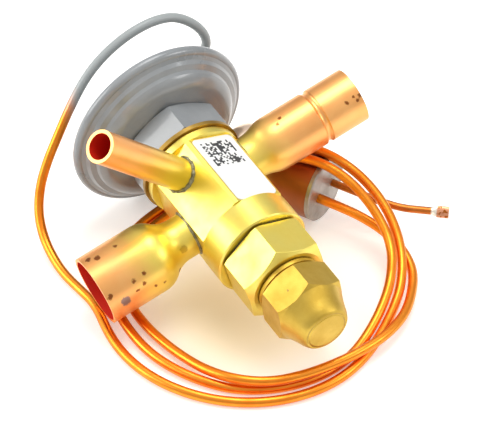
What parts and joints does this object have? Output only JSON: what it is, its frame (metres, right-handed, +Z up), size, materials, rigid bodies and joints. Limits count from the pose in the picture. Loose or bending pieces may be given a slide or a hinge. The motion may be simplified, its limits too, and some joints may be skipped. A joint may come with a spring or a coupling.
{
  "type": "thermal expansion valve with sensing bulb",
  "caption": "Brass refrigerant expansion valve with grey domed power head, copper solder sockets, equalizer stub, seal cap, and a coiled capillary to a sensing bulb.",
  "frame": {"origin": "on the resting surface, below the middle of the valve's outline seen from above, capillary and bulb left out", "axes": "+Z up from the surface the valve lies on; +X along the valve's main axis towards the seal cap, level; +Y to the side of the inlet fitting"},
  "size_m": [0.0946, 0.0916, 0.0524],
  "materials": {
    "yellow_brass": "turned and milled, satin",
    "copper_tube": "drawn copper, satin, heat tinted near the braze",
    "bulb_copper": "darkened copper, satin",
    "braze": "silver braze, matte",
    "grey_paint": "semi-gloss grey paint",
    "plug_metal": "dull grey metal",
    "gasket_brown": "soft metal ring, dark gold",
    "gasket_dark": "black, matte",
    "stainless": "ground",
    "inner_brass": "turned",
    "white_sticker": "white film sticker, matte"
  },
  "bodies": {
    "valve": {"valve_body": "yellow_brass", "outlet_fitting": "copper_tube", "inlet_fitting": "copper_tube", "equalizer_tube": "copper_tube", "outlet_braze_ring": "braze", "inlet_braze_ring": "braze", "equalizer_braze_ring": "braze", "seat_orifice": "stainless", "stem_packing": "gasket_dark", "packing_follower": "inner_brass", "bottom_nut": "yellow_brass", "housing_gasket": "gasket_dark", "body_gasket": "gasket_brown", "head_hub": "grey_paint", "lower_casing": "grey_paint", "upper_casing": "grey_paint", "diaphragm": "stainless", "capillary_ferrule": "grey_paint", "identification_label": "white_sticker", "inlet_strainer": "stainless", "superheat_spring": "stainless", "capillary_tube": "copper_tube", "sensing_bulb": "bulb_copper", "bulb_end_plug": "plug_metal", "charge_tube": "copper_tube"},
    "pin_train": {"buffer_plate": "stainless", "push_rod_front": "stainless", "push_rod_back": "stainless", "pin_carrier": "inner_brass", "valve_pin": "stainless"},
    "stem": {"adjusting_stem": "stainless"},
    "spring_seat_nut": {"spring_seat": "inner_brass"},
    "cap": {"seal_cap": "yellow_brass"}
  },
  "joints": [
    {"name": "pin_opening", "type": "slide", "parent": "valve", "child": "pin_train", "axis": [0.9959, 0, -0.0906], "range_m": [0, 0.0009], "deforming": ["superheat_spring"]},
    {"name": "stem_turning", "type": "hinge", "parent": "valve", "child": "stem", "pos_m": [0.0237, -0.0021, 0.01815], "axis": [-0.9959, 0, 0.0906], "range_deg": [-1080, 1080]},
    {"name": "spring_seat_travel", "type": "slide", "parent": "valve", "child": "spring_seat_nut", "axis": [-0.9959, 0, 0.0906], "range_m": [-0.0024, 0.0024], "deforming": ["superheat_spring"]},
    {"name": "cap_removal", "type": "slide", "parent": "valve", "child": "cap", "axis": [0.9959, 0, -0.0906], "range_m": [0, 0.02]}
  ],
  "couplings": [
    {"joint": "stem_turning", "follows": "spring_seat_travel", "rad_per_m": 7853.9}
  ]
}
